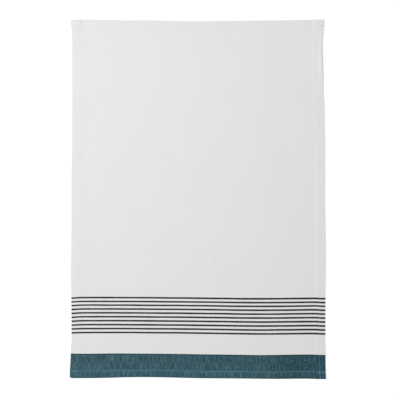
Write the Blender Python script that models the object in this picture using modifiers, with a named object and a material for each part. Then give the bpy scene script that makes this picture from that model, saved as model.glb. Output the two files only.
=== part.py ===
# Tea towel spread flat, face up: one woven cloth with a hem turned along each of its four sides.
# Metres, +Z up. The width runs along X and the length along Y, with the striped end towards -Y.
# The underside is flat at z = 0, and the hems and creases stand up from the face.

import math
from collections import namedtuple

import bmesh
import bpy

MM = 0.001

# Driving sizes
WIDTH = 498 * MM
LENGTH = 702 * MM
CLOTH_THICKNESS = 1.0 * MM
HEM_THICKNESS = 2.2 * MM
SIDE_HEM = 14.0 * MM
STRIPED_HEM = 15.5 * MM
FAR_HEM = 14.0 * MM
HEM_EDGE_ROUND = 1.8 * MM
HEM_EDGE_SHARE = 0.35
HEM_SLOPE = 5.0 * MM

# How finely the cloth is divided
EDGE_STEPS = (0.0, 1.0 * MM, 2.6 * MM, 5.0 * MM, 8.0 * MM)
HEM_STEPS = (-1.0 * MM, 2.0 * MM, 5.5 * MM)
FIELD_COLUMNS = 44
FIELD_ROWS = 64

# How far the side edges stand outside the plain rectangle, in mm, at heights above the striped end
SideRow = namedtuple("SideRow", "up left right")
SIDES = [SideRow(*row) for row in (
    (0, 2.45, 1.4),
    (12, 2.45, 0.45),
    (28, 1.65, 0.5),
    (44, 1.05, 0.4),
    (58, 1.05, 0.8),
    (75, -0.4, 0.2),
    (150, -0.35, 0.25),
    (183, 0.4, 0.8),
    (228, 0.5, 1.45),
    (271, 0.0, 1.3),
    (330, -0.3, 0.2),
    (389, -0.15, 0.2),
    (448, -1.2, 0.2),
    (498, -1.65, -0.6),
    (534, -1.75, -1.35),
    (565, -1.65, -2.8),
    (592, -1.55, -2.65),
    (616, -1.7, -3.75),
    (632, -1.4, -4.2),
    (648, -1.7, -4.5),
    (663, -1.45, -3.95),
    (675, -0.95, -2.95),
    (687, 0.05, -2.5),
    (694, 0.3, -1.8),
    (702, 2.3, -1.8),
)]

# How far four crosswise threads lie above their straight places, in mm, at places across the towel:
# those at the striped end, at the top of the end band, in the stripes and at the far end
ThreadRow = namedtuple("ThreadRow", "across end band stripes far")
THREADS = [ThreadRow(*row) for row in (
    (-249, 0.6, 1.55, 0.12, 0.65),
    (-244, 0.5, 1.5, 0.15, 0.75),
    (-240, 0.4, 1.4, 0.45, 0.85),
    (-236, 0.35, 1.3, 0.82, 1.0),
    (-230, 0.2, 1.15, 0.98, 1.2),
    (-210, 0.2, 1.05, 1.1, 1.2),
    (-177, 0.7, 1.5, 1.05, 0.65),
    (-145, 1.75, 1.55, 0.95, -0.5),
    (-110, 2.2, 1.25, 0.75, -0.45),
    (-75, 1.9, 1.0, 0.45, -0.6),
    (-36, 0.95, 0.6, 0.2, -1.95),
    (4, 0.0, -0.05, -0.2, -2.1),
    (42, -0.25, -0.5, -0.65, -1.85),
    (81, -0.55, -1.0, -1.22, -1.2),
    (120, -1.05, -1.6, -1.42, -0.85),
    (160, -1.35, -1.15, -1.22, -0.55),
    (199, -0.95, -0.55, -0.78, -0.15),
    (218, -1.05, -0.55, -0.55, 0.85),
    (232, -1.4, -0.8, -0.5, 0.95),
    (240, -1.35, -1.0, -1.05, 0.9),
    (249, -1.35, -1.3, -1.2, 0.7),
)]
THREAD_HEIGHTS = {"end": 0.0, "band": 47 * MM, "stripes": 123 * MM, "far": LENGTH}

# Soft creases that stand up from the face: the middle of each, the way it runs, and its size
Crease = namedtuple("Crease", "across up turn reach width height")
CREASES = [Crease(*row) for row in (
    (173, 659, -57, 30, 11, 0.5),  # two beside the dent near the far right corner
    (229, 655, -57, 26, 8, 0.45),
    (99, 250, 51, 42, 10, 1.1),    # a slanting one below the middle of the right half, and two short ones by it
    (25, 226, 80, 18, 7, 0.9),
    (175, 226, 75, 20, 7, 0.7),
    (164, 294, 71, 85, 15, 0.45),  # a long, low one nearer the right edge
    (-216, 647, 90, 30, 6, 0.35),  # beside the left hem
)]

# How high the right hem stands up in a roll where its edge is drawn in, in mm, and the roll's section
RollRow = namedtuple("RollRow", "up height")
ROLL = [RollRow(*row) for row in (
    (0, 0.0),
    (540, 0.0),
    (575, 0.6),
    (590, 1.3),
    (601, 2.4),
    (618, 3.1),
    (632, 2.5),
    (648, 1.6),
    (672, 1.4),
    (690, 0.4),
    (702, 0.0),
)]
ROLL_INWARD = 3.6 * MM
ROLL_INNER_WIDTH = 6.0 * MM
ROLL_OUTER_WIDTH = 2.3 * MM

# Corner arcs
CORNER_RADII = {
    ("left", "end"): 3.5 * MM,
    ("right", "end"): 1.2 * MM,
    ("left", "far"): 1.5 * MM,
    ("right", "far"): 1.2 * MM,
}


def smooth_share(value):
    """Goes from 0 to 1 as the value does, level at both ends."""
    share = min(1.0, max(0.0, value))
    return share * share * (3.0 - 2.0 * share)


def read_table(rows, along, column, place):
    """The smooth curve through one column of a table, at a place between its rows."""
    places = [getattr(row, along) for row in rows]
    values = [getattr(row, column) for row in rows]
    place = min(places[-1], max(places[0], place))
    last = len(rows) - 2
    i = next((n for n in range(last) if place < places[n + 1]), last)

    def slope(n):
        before, after = max(0, n - 1), min(len(rows) - 1, n + 1)
        return (values[after] - values[before]) / (places[after] - places[before])

    step = places[i + 1] - places[i]
    t = (place - places[i]) / step
    rise = values[i + 1] - values[i]
    start, stop = slope(i) * step, slope(i + 1) * step
    return values[i] + t * (start + t * (3 * rise - 2 * start - stop + t * (start + stop - 2 * rise)))


def thread_rise(across, up):
    """How far the crosswise thread at this height lies above its straight place."""
    names = list(THREAD_HEIGHTS)
    heights = [THREAD_HEIGHTS[name] for name in names]
    i = next((n for n in range(len(names) - 2) if up < heights[n + 1]), len(names) - 2)
    share = smooth_share((up - heights[i]) / (heights[i + 1] - heights[i]))
    low = read_table(THREADS, "across", names[i], across / MM)
    high = read_table(THREADS, "across", names[i + 1], across / MM)
    return ((1 - share) * low + share * high) * MM


def round_corner(across, up):
    """Moves a place near a corner of the plain rectangle on to the corner's arc."""
    side = "left" if across < 0 else "right"
    end = "end" if up < LENGTH / 2 else "far"
    radius = CORNER_RADII[side, end]
    out_x = abs(across) - (WIDTH / 2 - radius)
    out_y = abs(up - LENGTH / 2) - (LENGTH / 2 - radius)
    if out_x <= 0 or out_y <= 0:
        return across, up
    shift_x = out_x * (1 - math.sqrt(1 - (out_y / radius) ** 2 / 2))
    shift_y = out_y * (1 - math.sqrt(1 - (out_x / radius) ** 2 / 2))
    return across - math.copysign(shift_x, across), up - math.copysign(shift_y, up - LENGTH / 2)


def laid_place(across, up):
    """Where a point of the straight cloth lies once the towel is spread out by hand."""
    share = across / WIDTH + 0.5
    left = read_table(SIDES, "up", "left", up / MM) * MM
    right = read_table(SIDES, "up", "right", up / MM) * MM
    rise = thread_rise(across, up)
    across, up = round_corner(across, up)
    return across + share * right - (1 - share) * left, up - LENGTH / 2 + rise


def end_hem(up):
    """The width of the hem at the nearer end."""
    return STRIPED_HEM if up < LENGTH / 2 else FAR_HEM


def hem_share(inward, hem):
    """How much of a hem's extra thickness stands at a distance in from its folded edge."""
    edge = HEM_EDGE_SHARE + (1 - HEM_EDGE_SHARE) * smooth_share(inward / HEM_EDGE_ROUND)
    return edge * (1 - smooth_share((inward - hem) / HEM_SLOPE))


def crease_height(across, up):
    """The soft creases' height at a place, each a ridge that fades towards its ends."""
    height = 0.0
    for crease in CREASES:
        dx, dy = across - crease.across * MM, up - crease.up * MM
        turn = math.radians(crease.turn)
        along = dx * math.cos(turn) + dy * math.sin(turn)
        beside = dy * math.cos(turn) - dx * math.sin(turn)
        fade = (along / (crease.reach * MM)) ** 2 + (beside / (crease.width * MM)) ** 2
        height += crease.height * MM * math.exp(-fade)
    return height


def roll_height(across, up):
    """The rolled hem's height at a place: a ridge by the right edge, steeper on its outer side."""
    beside = WIDTH / 2 - across - ROLL_INWARD
    width = ROLL_INNER_WIDTH if beside > 0 else ROLL_OUTER_WIDTH
    return read_table(ROLL, "up", "height", up / MM) * MM * math.exp(-(beside / width) ** 2)


def thickness(across, up):
    """The towel's full thickness at a place, so also its height over the table."""
    extra = HEM_THICKNESS - CLOTH_THICKNESS
    side = hem_share(WIDTH / 2 - abs(across), SIDE_HEM)
    end = hem_share(LENGTH / 2 - abs(up - LENGTH / 2), end_hem(up))
    return CLOTH_THICKNESS + extra * (side + end) + crease_height(across, up) + roll_height(across, up)


def stations(length, first_hem, last_hem, field_steps):
    """Places along one side of the straight cloth, close together in the hems and even between."""
    first = list(EDGE_STEPS) + [first_hem + step for step in HEM_STEPS]
    last = [length - step for step in EDGE_STEPS] + [length - last_hem - step for step in HEM_STEPS]
    field = last[-1] - first[-1]
    middle = [first[-1] + field * n / field_steps for n in range(1, field_steps)]
    return first + middle + last[::-1]


def make_cloth_material():
    material = bpy.data.materials.new("white_cotton")
    material.use_nodes = True
    shader = material.node_tree.nodes["Principled BSDF"]
    shader.inputs["Base Color"].default_value = (0.80, 0.80, 0.785, 1.0)
    shader.inputs["Roughness"].default_value = 0.9
    shader.inputs["Metallic"].default_value = 0.0
    return material


def make_towel(collection):
    columns = stations(WIDTH, SIDE_HEM, SIDE_HEM, FIELD_COLUMNS)
    rows = stations(LENGTH, STRIPED_HEM, FAR_HEM, FIELD_ROWS)
    across_steps, up_steps = len(columns) - 1, len(rows) - 1

    bm = bmesh.new()
    bmesh.ops.create_grid(bm, x_segments=across_steps, y_segments=up_steps, size=1.0)
    weights = bm.verts.layers.deform.verify()
    straight = {}
    for vert in bm.verts:
        column = round((vert.co.x + 1) / 2 * across_steps)
        row = round((vert.co.y + 1) / 2 * up_steps)
        straight[vert] = (columns[column] - WIDTH / 2, rows[row])
    thickest = max(thickness(*place) for place in straight.values())
    for vert, place in straight.items():
        vert.co.x, vert.co.y = laid_place(*place)
        vert[weights][0] = thickness(*place) / thickest

    xs = [vert.co.x for vert in bm.verts]
    ys = [vert.co.y for vert in bm.verts]
    centre = (-(min(xs) + max(xs)) / 2, -(min(ys) + max(ys)) / 2, 0.0)
    bmesh.ops.translate(bm, verts=bm.verts, vec=centre)

    mesh = bpy.data.meshes.new("towel")
    bm.to_mesh(mesh)
    bm.free()
    mesh.materials.append(make_cloth_material())
    towel = bpy.data.objects.new("towel", mesh)
    collection.objects.link(towel)

    height = towel.vertex_groups.new(name="thickness")
    shell = towel.modifiers.new("cloth", "SOLIDIFY")
    shell.thickness = thickest
    shell.offset = 1.0
    shell.vertex_group = height.name
    return towel


def main():
    for old in list(bpy.data.objects):
        bpy.data.objects.remove(old)
    collection = bpy.data.collections.new("tea_towel")
    bpy.context.scene.collection.children.link(collection)
    make_towel(collection)


main()
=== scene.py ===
import math
import random

import bmesh
import bpy
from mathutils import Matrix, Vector, noise


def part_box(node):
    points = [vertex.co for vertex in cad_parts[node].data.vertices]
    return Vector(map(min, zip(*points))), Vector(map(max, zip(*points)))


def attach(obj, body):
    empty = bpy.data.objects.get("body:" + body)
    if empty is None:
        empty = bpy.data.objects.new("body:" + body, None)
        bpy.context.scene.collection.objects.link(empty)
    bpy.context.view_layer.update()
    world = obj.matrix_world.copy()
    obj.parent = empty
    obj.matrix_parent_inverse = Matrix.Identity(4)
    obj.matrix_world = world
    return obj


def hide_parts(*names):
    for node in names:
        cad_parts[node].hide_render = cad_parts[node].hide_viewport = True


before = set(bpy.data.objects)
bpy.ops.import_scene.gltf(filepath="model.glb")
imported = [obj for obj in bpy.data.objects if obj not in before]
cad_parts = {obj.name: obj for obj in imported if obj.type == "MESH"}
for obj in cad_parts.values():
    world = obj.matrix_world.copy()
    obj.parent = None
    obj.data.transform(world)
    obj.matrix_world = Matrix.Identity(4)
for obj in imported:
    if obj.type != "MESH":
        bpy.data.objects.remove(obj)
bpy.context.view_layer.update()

towelLow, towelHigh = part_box("towel")
mm = 0.001

# A cotton tea towel, spread flat and face up, seen from straight above.
# Straight cloth coordinates: across from its middle line, up from its striped end.

towelCloth = {
    "width": 498 * mm,         # finished, from fold to fold
    "length": 702 * mm,
    "thick": 0.29 * mm,        # the woven cloth by itself
    "layer": 0.38 * mm,        # from one layer to the next inside a hem
    "rest": 0.12 * mm,         # the lowest layer's clearance over the table, where the back thread lies
    "sideHem": 14.0 * mm,
    "stripedHem": 15.5 * mm,
    "farHem": 14.0 * mm,
    "levelFrom": 1.9 * mm,     # the layers run level from here, past the outer fold
    "rawGap": 2.6 * mm,        # the raw edge inside a hem stays this far from the outer fold
    "nearFold": 3.4 * mm,      # from here to its seam a hem is divided evenly
    "sideSteps": 5,            # in so many steps at a side, and so many at an end
    "endSteps": 2,
    "seamSteps": 5,            # and in so many across the strip that holds its seam
    "pastSeam": 0.6 * mm,      # the next row lies at least this far past that strip
    "hemLip": 0.8 * mm,        # the face stays up this far past the hem
    "hemSlope": 10.0 * mm,     # and comes down to the table over this
    "slopeSteps": 4,
    "foldSteps": 6,
    "fieldColumns": 100,
    "fieldRows": 144,
    "seamPress": 0.07,         # how much of its height a hem loses under its thread
    "seamReach": 1.2 * mm,     # and how far to either side
    "cornerReach": 10.0 * mm,  # how far in from a corner its rounding is felt
}

seams = {
    "stripedIn": 14.0 * mm,    # from the fold at the striped end
    "farIn": 12.4 * mm,
    "sideStrip": (10.2 * mm, 14.2 * mm),   # in from a side fold, where its seam wanders
    "endStrip": 2.0 * mm,      # to either side of an end seam
    "clear": 0.9 * mm,         # a seam stops this far from the folds that it runs up to
    "stitch": 3.0 * mm,
    "threadWide": 0.30 * mm,
    "threadHigh": 0.24 * mm,
    "wander": 0.07 * mm,       # how far a stitch lies beside its line
    "plump": 0.12,             # how much thicker or thinner than usual it may be
    "fullness": 0.7,           # below 1 a stitch is soon at its full size, past its needle hole
    "holeWide": 0.25,          # the shares of its width and height that are left in the hole
    "holeHigh": 0.2,
    "sunk": 0.9,               # how deep it dips there, and how far it rises from that, in half heights
    "arch": 1.3,
    "cornerFrom": 233 * mm,    # the striped end's corners start this far from the middle line
    "cornerTo": 16 * mm,       # and reach this far up
    "cornerFade": 4 * mm,
    "cornerLoose": 1.0,        # how much plumper the stitches are there, over nine layers
    "crossHigh": 0.27 * mm,    # an end seam passes over a side seam in a hump this high
    "crossReach": 1.2 * mm,
    "stepsEach": 4,            # how finely each stitch is divided, along it and round it
    "stepsRound": 6,
}

# the side seams wander as the cloth was fed through by hand, mm: up, in from the left fold and the right
sideSeamBends = (
    (0, 11.6, 11.9), (40, 12.0, 11.9), (90, 13.0, 11.4), (157, 13.2, 11.2), (300, 12.4, 11.8),
    (470, 11.9, 12.3), (702, 12.2, 12.0),
)

# how far the side edges stand outside the plain rectangle, mm: up, left, right
sideBends = (
    (0, 2.45, 1.4), (12, 2.45, 0.45), (28, 1.65, 0.5), (44, 1.05, 0.4), (58, 1.05, 0.8), (75, -0.4, 0.2),
    (150, -0.35, 0.25), (183, 0.4, 0.8), (228, 0.5, 1.45), (271, 0.0, 1.3), (330, -0.3, 0.2),
    (389, -0.15, 0.2), (448, -1.2, 0.2), (498, -1.65, -0.6), (534, -1.75, -1.35), (565, -1.65, -2.8),
    (580, -1.6, -2.9), (592, -1.55, -3.1), (604, -1.6, -3.65), (616, -1.7, -3.95), (632, -1.4, -4.2),
    (648, -1.7, -4.5), (663, -1.45, -3.95), (675, -0.95, -2.95), (687, 0.05, -2.5), (694, 0.3, -1.8),
    (702, 2.3, -1.8),
)

# how far four crosswise threads lie above their straight places, mm:
# across, at the striped end, at the band's top, in the stripes, at the far end
threadBends = (
    (-249, 0.6, 1.55, 0.12, 0.65), (-244, 0.5, 1.5, 0.15, 0.75), (-240, 0.4, 1.4, 0.45, 0.85),
    (-236, 0.35, 1.3, 0.82, 1.0), (-230, 0.2, 1.15, 0.98, 1.2), (-210, 0.2, 1.05, 1.1, 1.2),
    (-177, 0.7, 1.5, 1.05, 0.65), (-145, 1.75, 1.55, 0.95, -0.5), (-110, 2.2, 1.25, 0.75, -0.45),
    (-75, 1.9, 1.0, 0.45, -0.6), (-36, 0.95, 0.6, 0.2, -1.95), (4, 0.0, -0.05, -0.2, -2.1),
    (42, -0.25, -0.5, -0.65, -1.85), (81, -0.55, -1.0, -1.22, -1.2), (120, -1.05, -1.6, -1.42, -0.85),
    (160, -1.35, -1.15, -1.22, -0.55), (199, -0.95, -0.55, -0.78, -0.15), (218, -1.05, -0.55, -0.55, 0.85),
    (232, -1.4, -0.8, -0.5, 0.95), (240, -1.35, -1.0, -1.05, 0.9), (249, -1.35, -1.3, -1.2, 0.7),
)
threadPlaces = (0, 47, 123, 702)   # how far up the four are

# soft creases, mm and degrees: across, up, turn, reach, width, height
creases = (
    (173, 659, -57, 30, 11, 0.5),
    (229, 655, -57, 26, 8, 0.45),
    (99, 250, 51, 42, 10, 1.1),
    (25, 226, 80, 18, 7, 0.9),
    (175, 226, 75, 20, 7, 0.7),
    (164, 294, 71, 85, 15, 0.45),
    (-216, 647, 90, 30, 6, 0.35),
)

# the cloth's own unevenness: size across and up, a seed, height in mm
swells = (
    (110 * mm, 140 * mm, 1.7, 0.22),
    (34 * mm, 45 * mm, 5.2, 0.05),
)

# and the pucker of the hems beside their seams, its height in mm
pucker = {"size": 11 * mm, "seed": 9.4, "height": 0.09, "inward": 12 * mm, "reach": 7 * mm}

# where the right edge is drawn in, its hem stands up in a roll with a steep outer side, mm
edgeRoll = {
    "inward": 3.4,             # its top, from the fold
    "innerWidth": 5.4,
    "outerWidth": 2.2,
    "loose": 0.16,             # for each mm of its height its layers lie this much further apart
}
rollBends = (                  # up, height
    (0, 0), (540, 0), (575, 0.6), (590, 1.3), (601, 2.4), (618, 3.1), (632, 2.2), (648, 1.3), (660, 0.9),
    (672, 0.5), (690, 0.1), (702, 0),
)

# how far a corner's rounding runs along its edges: left or right, striped or far end
cornerArcs = {(-1, 0): 3.5 * mm, (1, 0): 1.2 * mm, (-1, 1): 1.5 * mm, (1, 1): 1.2 * mm}


def eased(value):
    share = min(1.0, max(0.0, value))
    return share * share * (3 - 2 * share)


def evenly(start, stop, steps):  # where each step starts
    return [start + (stop - start) * n / steps for n in range(steps)]


def readRow(table, column, place):  # the smooth curve through a table's column
    last = len(table) - 2
    place = min(table[-1][0], max(table[0][0], place))
    i = next((n for n in range(last) if place < table[n + 1][0]), last)

    def slope(n):
        a, b = table[max(0, n - 1)], table[min(last + 1, n + 1)]
        return (b[column] - a[column]) / (b[0] - a[0])

    step = table[i + 1][0] - table[i][0]
    t = (place - table[i][0]) / step
    rise = table[i + 1][column] - table[i][column]
    start, stop = slope(i) * step, slope(i + 1) * step
    bend = 3 * rise - 2 * start - stop + t * (start + stop - 2 * rise)
    return table[i][column] + t * (start + t * bend)


def fromEdges(across, up):  # how far in from the nearer side and the nearer end
    half = towelCloth["length"] / 2
    return towelCloth["width"] / 2 - abs(across), half - abs(up - half)


def roundedCorner(across, up):  # an edge is drawn in beside its corner, and the cloth inside it follows
    half = towelCloth["length"] / 2
    arc = cornerArcs[(-1 if across < 0 else 1), (0 if up < half else 1)]
    fromSide, fromEnd = fromEdges(across, up)
    fromCorner = abs(fromSide - fromEnd) / arc
    if fromCorner >= 1:
        return across, up
    felt = arc * (1 - eased(min(fromSide, fromEnd) / towelCloth["cornerReach"]))
    along = 1 - fromCorner
    drawnIn, drawnAlong = felt * (1 - math.sqrt(1 - along ** 2 / 2)), felt * along * (1 - math.sqrt(0.5))
    backX, backY = (drawnIn, drawnAlong) if fromSide < fromEnd else (drawnAlong, drawnIn)
    return across - math.copysign(backX, across), up - math.copysign(backY, up - half)


def laidPlace(across, up):  # from the straight cloth to the towel as it was spread by hand
    share = across / towelCloth["width"] + 0.5
    left, right = readRow(sideBends, 1, up / mm), readRow(sideBends, 2, up / mm)
    i = next((n for n in range(2) if up / mm < threadPlaces[n + 1]), 2)
    mix = eased((up / mm - threadPlaces[i]) / (threadPlaces[i + 1] - threadPlaces[i]))
    low, high = readRow(threadBends, i + 1, across / mm), readRow(threadBends, i + 2, across / mm)
    across, up = roundedCorner(across, up)
    return (across + (share * right - (1 - share) * left) * mm,
            up - towelCloth["length"] / 2 + ((1 - mix) * low + mix * high) * mm)


def rollHeight(across, up):  # mm
    fromTop = towelCloth["width"] / 2 / mm - across / mm - edgeRoll["inward"]
    beside = fromTop / (edgeRoll["innerWidth"] if fromTop > 0 else edgeRoll["outerWidth"])
    return readRow(rollBends, 1, up / mm) * math.exp(-beside ** 2)


def lifted(across, up):  # how far the cloth stands off the table
    height = rollHeight(across, up)
    for x, y, turn, reach, width, high in creases:
        dx, dy = across / mm - x, up / mm - y
        c, s = math.cos(math.radians(turn)), math.sin(math.radians(turn))
        height += high * math.exp(-((dx * c + dy * s) / reach) ** 2 - ((dy * c - dx * s) / width) ** 2)
    for sizeX, sizeY, seed, high in swells:
        height += high * (1 + noise.noise(Vector((across / sizeX, up / sizeY, seed))))
    beside = (min(fromEdges(across, up)) - pucker["inward"]) / pucker["reach"]
    ripple = noise.noise(Vector((across / pucker["size"], up / pucker["size"], pucker["seed"])))
    height += pucker["height"] * (1 + ripple) * math.exp(-beside ** 2)
    return height * mm


def hemRise(inward, hem):
    return 1 - eased((inward - hem - towelCloth["hemLip"]) / towelCloth["hemSlope"])


def foldPlace(kind, value, hem, height, layer):
    # one crossing of a twice-turned hem: how far in from the fold, how high, and its place on the flat
    # cloth; height is where it lies inside a layer
    reach = 1.5 * layer        # the middle of the outer fold, from the table and from the fold
    if kind == "turn":
        return value, layer + height, value - 2 * hem
    if kind == "innerFold":
        return hem + height * math.cos(value), layer + height * math.sin(value), -hem
    if kind == "back":
        return value, layer - height, -value
    if kind == "outerFold":
        radius = 0.5 * layer + height   # the turned-in layer lies inside it
        flat = reach * value / (math.pi / 2)
        return reach - radius * math.cos(value), reach + radius * math.sin(value), flat
    return value, 2 * layer * hemRise(value, hem) + height, value


def hemStations(hem, strip, nearSteps):
    # from the raw edge, round both folds, to the face beside the hem; its layers bend at the same places
    foldSteps = towelCloth["foldSteps"]
    bend = [math.radians(180 * n / foldSteps - 90) for n in range(foldSteps + 1)]
    shared = [towelCloth["levelFrom"], towelCloth["rawGap"]]
    shared += evenly(towelCloth["nearFold"], strip[0], nearSteps)
    shared += evenly(strip[0], strip[1], towelCloth["seamSteps"])
    stations = [("turn", inward) for inward in shared[1:]]
    stations += [("innerFold", angle) for angle in reversed(bend)]
    stations += [("back", inward) for inward in reversed(shared)]
    stations += [("outerFold", angle) for angle in bend]
    stations += [("face", inward) for inward in (*shared, strip[1])]
    start = max(strip[1] + towelCloth["pastSeam"], hem + towelCloth["hemLip"])
    stop = start + towelCloth["hemSlope"]
    stations += [("face", inward) for inward in (*evenly(start, stop, towelCloth["slopeSteps"]), stop)]
    return [(kind, value, hem) for kind, value in stations]


def endStrip(seamIn):
    return seamIn - seams["endStrip"], seamIn + seams["endStrip"]


def clothStations(size, first, last, fieldSteps):  # both hems and the field between, from end to end
    field = evenly(first[-1][1], size - last[-1][1], fieldSteps)[1:]
    low = first + [("face", inward, first[0][2]) for inward in field]
    return [(-1, *station) for station in low] + [(1, *station) for station in reversed(last)]


def seamShare(inward, seamIn):
    return math.exp(-((inward - seamIn) / towelCloth["seamReach"]) ** 2)


def sideSeam(side, up):  # how far in from its fold a side's seam runs
    return readRow(sideSeamBends, 1 if side < 0 else 2, up / mm) * mm


def packed(across, up):  # how the layers lie: pressed together at a seam, looser in the roll
    length = towelCloth["length"]
    upSeam = seams["stripedIn"] if up < length / 2 else length - seams["farIn"]
    atSide = seamShare(fromEdges(across, up)[0], sideSeam(across, up))
    pressed = towelCloth["seamPress"] * max(atSide, seamShare(up, upSeam))
    return (1 - pressed) * (1 + edgeRoll["loose"] * rollHeight(across, up))


def makeTowelCloth():  # one grid, folded along its flat pattern: the side hems first, then the ends
    width, length, layer = towelCloth["width"], towelCloth["length"], towelCloth["layer"]
    side = hemStations(towelCloth["sideHem"], seams["sideStrip"], towelCloth["sideSteps"])
    striped = hemStations(towelCloth["stripedHem"], endStrip(seams["stripedIn"]), towelCloth["endSteps"])
    far = hemStations(towelCloth["farHem"], endStrip(seams["farIn"]), towelCloth["endSteps"])
    columns = clothStations(width, side, side, towelCloth["fieldColumns"])
    rows = clothStations(length, striped, far, towelCloth["fieldRows"])

    bm = bmesh.new()
    bmesh.ops.create_grid(bm, x_segments=len(columns) - 1, y_segments=len(rows) - 1, size=1)
    flat = {}
    for vert in bm.verts:
        column = columns[round((vert.co.x + 1) / 2 * (len(columns) - 1))]
        row = rows[round((vert.co.y + 1) / 2 * (len(rows) - 1))]
        acrossIn, stack, flatAcross = foldPlace(*column[1:], layer / 2, layer)
        # an end hem folds the side hem with it, as one thick layer
        strip = layer * (1 + 2 * hemRise(acrossIn, towelCloth["sideHem"]))
        upIn, height, flatUp = foldPlace(*row[1:], stack, strip)
        across = column[0] * (width / 2 - acrossIn)
        up = length / 2 + row[0] * (length / 2 - upIn)
        height = height * packed(across, up) + towelCloth["rest"] + lifted(across, up)
        vert.co = Vector((*laidPlace(across, up), height))
        flat[vert] = (column[0] * (width / 2 - flatAcross), length / 2 + row[0] * (length / 2 - flatUp))
    flatMap = bm.loops.layers.uv.new("flatCloth")
    for face in bm.faces:
        face.smooth = True
        for loop in face.loops:
            loop[flatMap].uv = flat[loop.vert]
    return bm


class Wire:  # a socket of a material's nodes, so that its maths reads as plain Python
    def __init__(self, tree, socket=None):
        self.tree, self.socket = tree, socket

    def node(self, kind, settings=None, values=None, output=0):
        made = self.tree.nodes.new(kind)
        for name, value in (settings or {}).items():
            setattr(made, name, value)
        for name, value in (values or {}).items():
            if isinstance(value, Wire):
                self.tree.links.new(value.socket, made.inputs[name])
            else:
                made.inputs[name].default_value = value
        return Wire(self.tree, made.outputs[output])

    def maths(self, operation, *values):
        return self.node("ShaderNodeMath", {"operation": operation}, dict(enumerate(values)))

    def __add__(self, other):
        return self.maths("ADD", self, other)

    def __sub__(self, other):
        return self.maths("SUBTRACT", self, other)

    def __rsub__(self, other):
        return self.maths("SUBTRACT", other, self)

    def __mul__(self, other):
        return self.maths("MULTIPLY", self, other)

    def __truediv__(self, other):
        return self.maths("DIVIDE", self, other)

    def __rtruediv__(self, other):
        return self.maths("DIVIDE", other, self)

    __radd__ = __add__
    __rmul__ = __mul__

    def __abs__(self):
        return self.maths("ABSOLUTE", self)

    def step(self, start, stop, top=1.0):  # 0 below start, top above stop, eased between
        return self.node("ShaderNodeMapRange", {"interpolation_type": "SMOOTHSTEP"},
                         {"Value": self, "From Min": start, "From Max": stop, "To Max": top})

    def blend(self, low, high):  # from one colour to another
        low, high = (c if isinstance(c, Wire) else (*c, 1) for c in (low, high))
        return self.node("ShaderNodeMix", {"data_type": "RGBA"}, {0: self, 6: low, 7: high}, 2)

    def shade(self, colour):  # this much of a colour
        return self.node("ShaderNodeVectorMath", {"operation": "SCALE"}, {0: colour, 3: self})

    def part(self, n):  # a vector's x, y or z
        return self.node("ShaderNodeSeparateXYZ", None, {0: self}, n)


def grain(x, y, sizeX, sizeY, seed, detail=0.0):  # noise about 0, whose spots are about sizeX by sizeY
    place = x.node("ShaderNodeCombineXYZ", None, {0: x / sizeX, 1: y / sizeY, 2: seed})
    return x.node("ShaderNodeTexNoise", None, {"Vector": place, "Scale": 1.0, "Detail": detail}) - 0.5


# spots of noise in the cloth: size across and up, a seed, detail
yarnSpots = {
    "warpWander": (3 * mm, 16 * mm, 2.3, 1),
    "weftWander": (16 * mm, 3 * mm, 7.1, 1),
    "ragged": (1.1 * mm, 0.8 * mm, 11.0),
    "swell": (38 * mm, 2.4 * mm, 13.0),
    "missed": (1.3 * mm, 2.6 * mm, 17.0),
    "bleach": (60 * mm, 90 * mm, 19.0, 1),
    "warpSlub": (1.4 * mm, 15 * mm, 23.0, 1),
    "weftSlub": (9 * mm, 1.3 * mm, 29.0, 1),
    "fleck": (1.9 * mm, 2.3 * mm, 31.0, 1),
    "cloud": (42 * mm, 26 * mm, 37.0, 1),
}

# a step eases in from its first value to its second, and reaches its third if it has one
weave = {
    "pitch": 0.5 * mm,             # both ways, so 20 threads to the centimetre
    "wander": 0.35 * mm,           # how far a thread strays from its straight line
    "warpOver": (0.05, 0.35),      # from the weft on top to the warp on top
    "white": (0.788, 0.796, 0.792),
    "shade": 0.946,                # what is left of the white between the threads, painted shade in the gaps
    "onThreads": (0, 0.4, 0.07),   # and what is added on them
    "warpShade": 0.02,
    "bleachShade": 0.03,
    "rough": 0.86,
    "fleckRough": 0.12,
    "threadRelief": 0.055 * mm,
    "slubRelief": 0.02 * mm,
}

darkStripes = {
    "charcoal": (0.013, 0.015, 0.015),
    "count": 10,
    "top": 157.0 * mm,
    "pitch": 7.61 * mm,
    "spread": 0.00018,             # the pitch grows by this share of the way to the right of the middle
    "wide": 3.43 * mm,
    "widening": 0.0004,            # and half a stripe by this one, from left to right
    "soft": 0.25 * mm,
    "ragged": 0.5 * mm,            # how far its single picks stray
    "swell": 0.5 * mm,             # how its width varies
    "high": 0.54 * mm,             # the middle ones lie this much too high
    "highFrom": (93 * mm, 124 * mm),
    "highTo": (140 * mm, 153 * mm),
    "missed": (0.12, 0.32, 0.18),  # flecks where the white shows through
    "warpShown": 0.024,
    "relief": 0.05 * mm,
}

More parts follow.
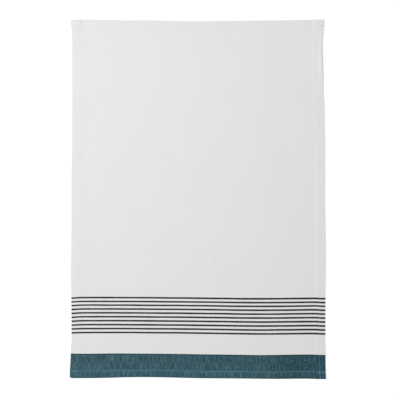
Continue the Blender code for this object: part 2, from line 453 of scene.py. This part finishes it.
tealBand = {
    "weft": (0.0150, 0.066, 0.088),
    "warp": (0.155, 0.265, 0.305),    # a white warp thread between blue-green ones, in their shade
    "paintedShadeTeal": (0.003, 0.036, 0.050),    # painted shade: the band is drawn darker towards the right, away from the light
    "paintedShadeWide": (-200 * mm, 125 * mm, 0.14),
    "paintedShadeNearRight": (134 * mm, 165 * mm, 0.30),
    "speckleUnderPaintedShade": 0.9,               # the yarn's unevenness is drawn stronger under that painted shade
    "top": 47.0 * mm,
    "soft": 0.15 * mm,
    "ragged": 0.4,                    # how ragged its edge is beside the stripes
    "closePicks": 1.8 * mm,           # the closely beaten picks that start the band
    "closeBelow": 0.4 * mm,           # they set in from this far below to that far above
    "closeAbove": 0.2 * mm,
    "closeHides": 0.7,                # how much less of the warp shows in them
    "closeShade": 0.28,               # and how much darker they are
    "warpShown": 0.75,
    "slubShown": (-0.25, 0.25, 0.9),
    "fleckShown": (-0.2, 0.2, 0.35),
    "warpSlub": 1.3,                  # how much each sort of spot shades it
    "weftSlub": 0.6,
    "fleck": 1.6,
    "cloud": 0.3,
    "shade": 1.04,
    "paintedHemLight": (0, 13 * mm, 0.19),       # painted light: the hem is drawn paler up to its seam, for the light on its raised top
    "paintedHemLightTo": (14 * mm, 18 * mm),
    "smoother": 0.06,                 # how much less rough it is than the rest
}


def wovenCotton():
    material = bpy.data.materials.new("wovenCotton")
    material.use_nodes = True
    tree = material.node_tree
    shader = tree.nodes["Principled BSDF"]
    shader.inputs["Specular IOR Level"].default_value = 0.25
    shader.inputs["Sheen Weight"].default_value = 0.06
    shader.inputs["Sheen Roughness"].default_value = 0.45

    flat = Wire(tree).node("ShaderNodeUVMap", {"uv_map": "flatCloth"})
    u, v = flat.part(0), flat.part(1)

    def spots(name):
        return grain(u, v, *yarnSpots[name])

    # the two sets of threads, each a little wavy, over one and under one
    turns = math.pi / weave["pitch"]
    warp = (u + spots("warpWander") * weave["wander"]) * turns
    weft = (v + spots("weftWander") * weave["wander"]) * turns
    crossing = u.maths("SINE", warp) * u.maths("SINE", weft)
    warpOver = crossing.step(*weave["warpOver"])
    # painted shade: the white is drawn darker between the threads than on them
    threads = abs(crossing).step(*weave["onThreads"]) + warpOver * weave["warpShade"]
    white = (spots("bleach") * weave["bleachShade"] + threads + weave["shade"]).shade(weave["white"])

    # dark stripes, each pick a little ragged
    ragged = spots("ragged") * darkStripes["ragged"]
    swell = spots("swell") * darkStripes["swell"]
    tooHigh = (1 - v.step(*darkStripes["highTo"])) * v.step(*darkStripes["highFrom"], darkStripes["high"])
    spread = u.maths("MAXIMUM", u, 0) * darkStripes["spread"] + darkStripes["pitch"]
    order = (darkStripes["top"] - v + tooHigh) / spread
    nearest = u.maths("MINIMUM", u.maths("ROUND", order), darkStripes["count"] - 1)
    away = abs(order - u.maths("MAXIMUM", nearest, 0)) * spread + ragged
    half = swell + u * darkStripes["widening"] + darkStripes["wide"] / 2
    stripe = 1 - (away - half).step(-darkStripes["soft"], darkStripes["soft"])
    missed = spots("missed").step(*darkStripes["missed"]) + warpOver * darkStripes["warpShown"]
    colour = (stripe * (1 - missed)).blend(white, darkStripes["charcoal"])

    # the band: white warp, blue-green weft, in uneven yarn
    top, soft = tealBand["top"], tealBand["soft"]
    picksFrom = top - tealBand["closePicks"]
    band = 1 - (v + ragged * tealBand["ragged"]).step(top - soft, top + soft)
    denser = (v + ragged).step(picksFrom - tealBand["closeBelow"], picksFrom + tealBand["closeAbove"])
    warpSlub, weftSlub, fleck, cloud = (spots(name) for name in ("warpSlub", "weftSlub", "fleck", "cloud"))
    shown = warpSlub.step(*tealBand["slubShown"]) + fleck.step(*tealBand["fleckShown"])
    shown = (shown - denser * tealBand["closeHides"]) * tealBand["warpShown"]
    # painted shade: the band darkens towards the right, away from the light
    paintedShade = u.step(*tealBand["paintedShadeWide"]) + u.step(*tealBand["paintedShadeNearRight"])
    teal = paintedShade.blend((warpOver * shown).blend(tealBand["weft"], tealBand["warp"]), tealBand["paintedShadeTeal"])
    # painted light: the band's hem is drawn paler up to its seam, where its raised top catches more light
    paintedHemLight = v.step(*tealBand["paintedHemLight"]) * (1 - v.step(*tealBand["paintedHemLightTo"]))
    speckle = warpSlub * tealBand["warpSlub"] + weftSlub * tealBand["weftSlub"]
    speckle = speckle + fleck * tealBand["fleck"] + cloud * tealBand["cloud"]
    uneven = speckle * (paintedShade * tealBand["speckleUnderPaintedShade"] + 1) + tealBand["shade"]
    colour = band.blend(colour, (uneven - denser * tealBand["closeShade"] + paintedHemLight).shade(teal))

    relief = abs(crossing) * weave["threadRelief"] + (warpSlub + weftSlub) * weave["slubRelief"]
    relief = relief + stripe * darkStripes["relief"]
    bump = u.node("ShaderNodeBump", None, {"Strength": 1.0, "Distance": 1.0, "Height": relief})
    rough = fleck * weave["fleckRough"] + weave["rough"] - band * tealBand["smoother"]
    tree.links.new(colour.socket, shader.inputs["Base Color"])
    tree.links.new(rough.socket, shader.inputs["Roughness"])
    tree.links.new(bump.socket, shader.inputs["Normal"])
    return material


sewing = {
    "white": (0.80, 0.80, 0.79),
    "dyed": (0.36, 0.60, 0.68),    # the band's dye rubs off on it there
    "dyedFade": 1.0 * mm,
    # painted shade: the tack's thread is grey for the shade among its close passes
    "tackShadeGrey": (0.28, 0.28, 0.28),
    "shade": 0.96,
    "rough": 0.7,
    "twist": 0.55 * mm,            # from one of its two plies to the next
    # painted shade in the grooves between the plies
    "twistShade": 0.04,
    "twistRelief": 0.03 * mm,
    "fluff": 0.4 * mm,
    "fluffShade": 0.12,
    "fluffRough": 0.2,
}


def sewingCotton(name, colour, dyed):
    material = bpy.data.materials.new(name)
    material.use_nodes = True
    tree = material.node_tree
    shader = tree.nodes["Principled BSDF"]
    shader.inputs["Specular IOR Level"].default_value = 0.4
    shader.inputs["Sheen Weight"].default_value = 0.2

    place = Wire(tree).node("ShaderNodeTexCoord", output="Object")
    x, y = place.part(0), place.part(1)
    ply = x.maths("SINE", (x + y) * (2 * math.pi / sewing["twist"]))
    fluff = grain(x, y, sewing["fluff"], sewing["fluff"], seed=3.0)
    bandTop = tealBand["top"] - towelCloth["length"] / 2
    atBand = 1 - y.step(bandTop - sewing["dyedFade"], bandTop + sewing["dyedFade"])
    # painted shade along the twist, in the grooves between its plies; the fluff is random tone
    shade = ply * sewing["twistShade"] + fluff * sewing["fluffShade"] + sewing["shade"]
    relief = ply * sewing["twistRelief"]
    bump = x.node("ShaderNodeBump", None, {"Strength": 0.6, "Distance": 1.0, "Height": relief})
    rough = fluff * sewing["fluffRough"] + sewing["rough"]
    tree.links.new(shade.shade(atBand.blend(colour, dyed)).socket, shader.inputs["Base Color"])
    tree.links.new(rough.socket, shader.inputs["Roughness"])
    tree.links.new(bump.socket, shader.inputs["Normal"])
    return material


def addPiece(name, bm, material):
    mesh = bpy.data.meshes.new(name)
    bm.to_mesh(mesh)
    bm.free()
    mesh.materials.append(material)
    piece = bpy.data.objects.new(name, mesh)
    bpy.context.scene.collection.objects.link(piece)
    return piece


def finishPiece(piece):
    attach(piece, "root")
    print(piece.name, len(piece.data.polygons), "faces")


# the cloth, centred over the solid
clothMesh = makeTowelCloth()
xs, ys = [v.co.x for v in clothMesh.verts], [v.co.y for v in clothMesh.verts]
centring = Vector(((towelLow.x + towelHigh.x - min(xs) - max(xs)) / 2,
                   (towelLow.y + towelHigh.y - min(ys) - max(ys)) / 2, 0))
bmesh.ops.translate(clothMesh, verts=clothMesh.verts, vec=centring)
towel = addPiece("towelCloth", clothMesh, wovenCotton())
shell = towel.modifiers.new("thickness", "SOLIDIFY")
shell.thickness, shell.offset = towelCloth["thick"], 0
finishPiece(towel)
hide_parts("towel")


def topOfCloth(across, up):
    layer = towelCloth["layer"]
    fromSide, fromEnd = fromEdges(across, up)
    rise = hemRise(fromSide, towelCloth["sideHem"])
    endRise = hemRise(fromEnd, towelCloth["stripedHem" if up < towelCloth["length"] / 2 else "farHem"])
    height = layer * 2 * rise + layer / 2 + 2 * layer * (1 + 2 * rise) * endRise
    return height * packed(across, up) + towelCloth["rest"] + lifted(across, up) + towelCloth["thick"] / 2


def threadPoint(across, up, onFace):
    x, y = laidPlace(across, up)
    z = topOfCloth(across, up) if onFace else towelCloth["rest"] + lifted(across, up)
    return Vector((x, y, z)) + centring


def overHems(across, up):  # 1 at the striped end's corners, where a seam runs over the other hem too
    atSide = eased((abs(across) - seams["cornerFrom"]) / seams["cornerFade"])
    return atSide * (1 - eased((up - seams["cornerTo"]) / seams["cornerFade"]))


def overSideSeam(across, up):
    beside = fromEdges(across, up)[0] - sideSeam(across, up)
    return seams["crossHigh"] * math.exp(-(beside / seams["crossReach"]) ** 2)


def makeSeam(name, length, stitch, route, thread, seed, crosses=False):
    # one thread lies on the face and one on the back
    # route gives (across, up) at a distance along the seam and one beside it
    dice = random.Random(seed)
    bm = bmesh.new()
    count = round(length / stitch)
    steps, around = seams["stepsEach"], seams["stepsRound"]
    nearly = 1e-4   # of a stitch
    for onFace in (True, False):
        wander = [dice.uniform(-seams["wander"], seams["wander"]) for n in range(count + 1)]
        plump = [dice.uniform(1 - seams["plump"], 1 + seams["plump"]) for n in range(count + 1)]
        tube = bmesh.ops.create_grid(bm, x_segments=count * steps, y_segments=around, size=1)["verts"]
        for vert in tube:
            along = (vert.co.x + 1) / 2 * count
            turn = math.pi * (vert.co.y + 1)
            distance = length * along / count
            n = min(count - 1, int(along + nearly))
            full = max(0.0, math.sin(math.pi * (along - n))) ** seams["fullness"]
            loose = plump[n] * (1 + seams["cornerLoose"] * overHems(*route(distance, 0)))
            wide = loose * (seams["holeWide"] + (1 - seams["holeWide"]) * full)
            high = seams["holeHigh"] + (1 - seams["holeHigh"]) * full
            off = wander[n] + seams["threadWide"] / 2 * wide * math.cos(turn)
            if min(along, count - along) < nearly:
                off = 0   # the thread's end is drawn to a point
            place = route(distance, off)
            lie = seams["threadHigh"] / 2 * (seams["arch"] * full - seams["sunk"] + high * math.sin(turn))
            hump = overSideSeam(*place) if crosses else 0
            vert.co = threadPoint(*place, onFace) + Vector((0, 0, (lie if onFace else -lie) + hump))
    bmesh.ops.remove_doubles(bm, verts=bm.verts, dist=1e-6)
    bmesh.ops.holes_fill(bm, edges=bm.edges, sides=around)
    bmesh.ops.recalc_face_normals(bm, faces=bm.faces)
    for face in bm.faces:
        face.smooth = True
    piece = addPiece(name, bm, thread)
    finishPiece(piece)
    return piece


# the seams, each along its whole hem
thread = sewingCotton("sewingThread", sewing["white"], sewing["dyed"])
clear = seams["clear"]
longRun, crossRun = towelCloth["length"] - 2 * clear, towelCloth["width"] - 2 * clear
farAt = towelCloth["length"] - seams["farIn"]


def alongSide(side):
    def route(distance, off):
        up = clear + distance
        return side * (towelCloth["width"] / 2 - sideSeam(side, up)) + off, up
    return route


def alongEnd(up):
    return lambda distance, off: (distance + clear - towelCloth["width"] / 2, up + off)


stitch = seams["stitch"]
stripedAt = seams["stripedIn"]
seamPieces = [
    makeSeam("leftSeam", longRun, stitch, alongSide(-1), thread, seed=1),
    makeSeam("rightSeam", longRun, stitch, alongSide(1), thread, seed=2),
    makeSeam("stripedEndSeam", crossRun, stitch, alongEnd(stripedAt), thread, seed=3, crosses=True),
    makeSeam("farEndSeam", crossRun, stitch, alongEnd(farAt), thread, seed=4, crosses=True),
]

# the far seam is sewn back and forth where it ends, at the right
tack = {
    "from": 1.0 * mm,              # from the right fold
    "to": 8.2 * mm,
    "passes": 3,
    "apart": 0.46 * mm,
    "below": 0.90 * mm,            # the middle pass, from the seam
    "stitch": 1.8 * mm,
    "shift": 0.5 * mm,             # each pass starts this much further in
    "seed": 10,
}
# the tack's passes are real; their grey is painted shade among them
tackThread = sewingCotton("tackThread", sewing["tackShadeGrey"], sewing["tackShadeGrey"])
tackRun = tack["to"] - tack["from"]
for n in range(tack["passes"]):
    passAt = farAt + (n - (tack["passes"] - 1) / 2) * tack["apart"] - tack["below"]
    start = towelCloth["width"] / 2 - tack["to"] - n * tack["shift"]
    seamPieces.append(makeSeam(
        f"seamTack{n + 1}", tackRun, tack["stitch"],
        lambda distance, off, passAt=passAt, start=start: (start + distance, passAt + off),
        tackThread, tack["seed"] + n))

# the table, the light and the camera
studio = {
    "floorSize": 30.0,
    "floorBelow": 0.1 * mm,
    "floorColour": (0.50, 0.50, 0.50, 1),
    "floorGlow": 0.62,
    "skyColour": (0.99, 1.0, 1.0, 1),
    "skyStrength": 0.588,
    "keyPlace": (-0.70, 0.40, 1.60),
    "keySize": 0.9,
    "keyColour": (1.0, 0.995, 0.98),
    "keyWatts": 15.1,
    "lens": 85.0,
    "sensor": 36.0,
    "frameWide": 784 * mm,         # what the photo's 400 pixels take in, at 1.96 mm each
    "lookAt": (3.9 * mm, -1.7 * mm),
}


def makeStudio():
    bm = bmesh.new()
    bmesh.ops.create_grid(bm, x_segments=1, y_segments=1, size=studio["floorSize"] / 2)
    bmesh.ops.translate(bm, verts=bm.verts, vec=(0, 0, -studio["floorBelow"]))
    paper = bpy.data.materials.new("paleTable")
    paper.use_nodes = True
    shader = paper.node_tree.nodes["Principled BSDF"]
    shader.inputs["Base Color"].default_value = studio["floorColour"]
    shader.inputs["Roughness"].default_value = 1.0
    shader.inputs["Specular IOR Level"].default_value = 0
    shader.inputs["Emission Color"].default_value = (1, 1, 1, 1)
    shader.inputs["Emission Strength"].default_value = studio["floorGlow"]
    addPiece("floor", bm, paper)

    scene = bpy.context.scene
    scene.view_settings.view_transform = "Standard"
    scene.world = bpy.data.worlds.new("sky")
    scene.world.use_nodes = True
    sky = scene.world.node_tree.nodes["Background"]
    sky.inputs["Color"].default_value = studio["skyColour"]
    sky.inputs["Strength"].default_value = studio["skyStrength"]

    key = bpy.data.lights.new("softbox", "AREA")
    key.size, key.energy, key.color = studio["keySize"], studio["keyWatts"], studio["keyColour"]
    lamp = bpy.data.objects.new("softbox", key)
    lamp.location = studio["keyPlace"]
    lamp.rotation_euler = (-Vector(studio["keyPlace"])).to_track_quat("-Z", "Y").to_euler()
    scene.collection.objects.link(lamp)

    eye = bpy.data.cameras.new("camera")
    eye.lens, eye.sensor_width = studio["lens"], studio["sensor"]
    camera = bpy.data.objects.new("camera", eye)
    camera.location = (*studio["lookAt"], studio["frameWide"] * studio["lens"] / studio["sensor"])
    scene.collection.objects.link(camera)
    scene.camera = camera
    print("studio ready")


makeStudio()
